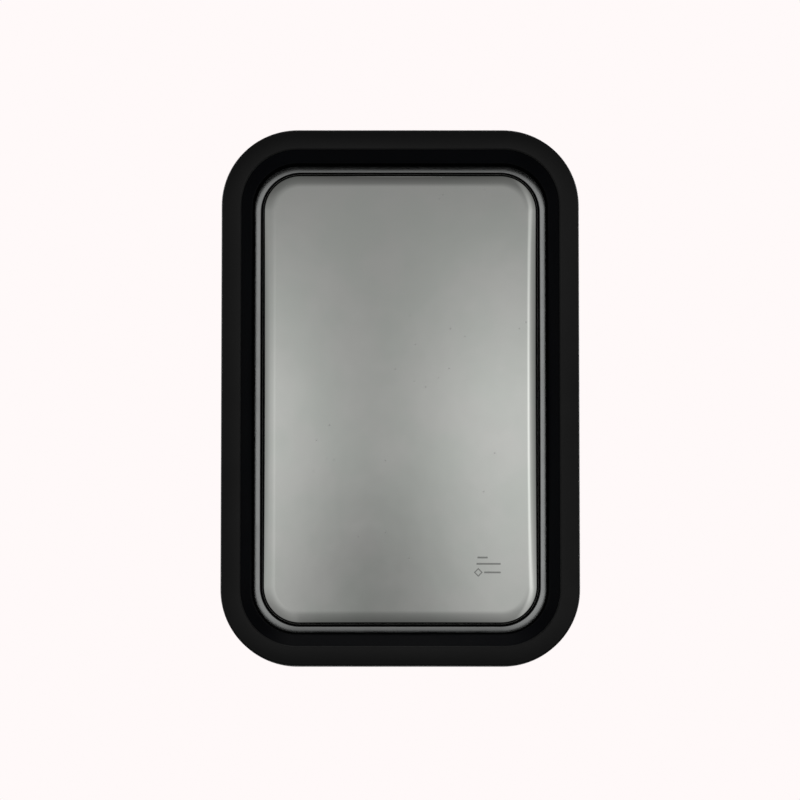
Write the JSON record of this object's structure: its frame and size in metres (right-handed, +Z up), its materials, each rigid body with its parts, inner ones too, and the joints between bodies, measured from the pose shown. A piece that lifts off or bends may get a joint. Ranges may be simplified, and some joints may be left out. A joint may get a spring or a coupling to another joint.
{
  "type": "convex security mirror",
  "caption": "Rectangular convex wall mirror in a deep black moulded frame, on a steel arm with pan and tilt pivots clamped by star knobs.",
  "frame": {"origin": "centre of the wall plate's four screw holes, on its back face against the wall", "axes": "the wall is the plane y = 0, the mirror faces -Y, +Z is up along the mirror's long side"},
  "size_m": [0.4, 0.3027, 0.6],
  "materials": {
    "frame_plastic": "matte",
    "ring_plastic": "satin",
    "mirror_face": "polished",
    "seal_rubber": "matte",
    "foam": "matte",
    "shell_plastic": "matte",
    "coated_steel": "satin",
    "black_steel": "satin",
    "zinc_steel": "satin",
    "nylon": "satin",
    "knob_plastic": "satin",
    "brass": "satin"
  },
  "bodies": {
    "wall_mount": {"wall_plate": "coated_steel", "wall_clevis": "coated_steel", "pan_bolt": "zinc_steel", "pan_friction_washers": "nylon", "pan_knob_washer": "zinc_steel"},
    "arm": {"arm_tube": "coated_steel", "arm_wall_eye": "coated_steel", "arm_head_eye": "coated_steel", "arm_pins": "zinc_steel"},
    "mirror_head": {"outer_frame": "frame_plastic", "retaining_ring": "ring_plastic", "front_seal": "seal_rubber", "mirror_lens": "mirror_face", "foam_tape": "foam", "back_shell": "shell_plastic", "shell_screws": "black_steel", "stiffener_plate": "zinc_steel", "head_bracket": "coated_steel", "bracket_washers": "zinc_steel", "bracket_bolts": "zinc_steel", "bracket_nuts": "zinc_steel", "tilt_bolt": "zinc_steel", "tilt_friction_washers": "nylon", "tilt_knob_washer": "zinc_steel"},
    "pan_knob": {"pan_knob": "knob_plastic", "pan_knob_insert": "brass"},
    "tilt_knob": {"tilt_knob": "knob_plastic", "tilt_knob_insert": "brass"}
  },
  "joints": [
    {"name": "pan", "type": "hinge", "parent": "wall_mount", "child": "arm", "pos_m": [0, -0.045, 0], "axis": [0, 0, 1], "range_deg": [-40, 40]},
    {"name": "tilt", "type": "hinge", "parent": "arm", "child": "mirror_head", "pos_m": [0, -0.205, 0], "axis": [1, 0, 0], "range_deg": [-10, 25]},
    {"name": "pan_knob_turn", "type": "hinge", "parent": "wall_mount", "child": "pan_knob", "pos_m": [0, -0.045, 0], "axis": [0, 0, 1], "continuous": true},
    {"name": "tilt_knob_turn", "type": "hinge", "parent": "mirror_head", "child": "tilt_knob", "pos_m": [0, -0.205, 0], "axis": [1, 0, 0], "continuous": true}
  ]
}
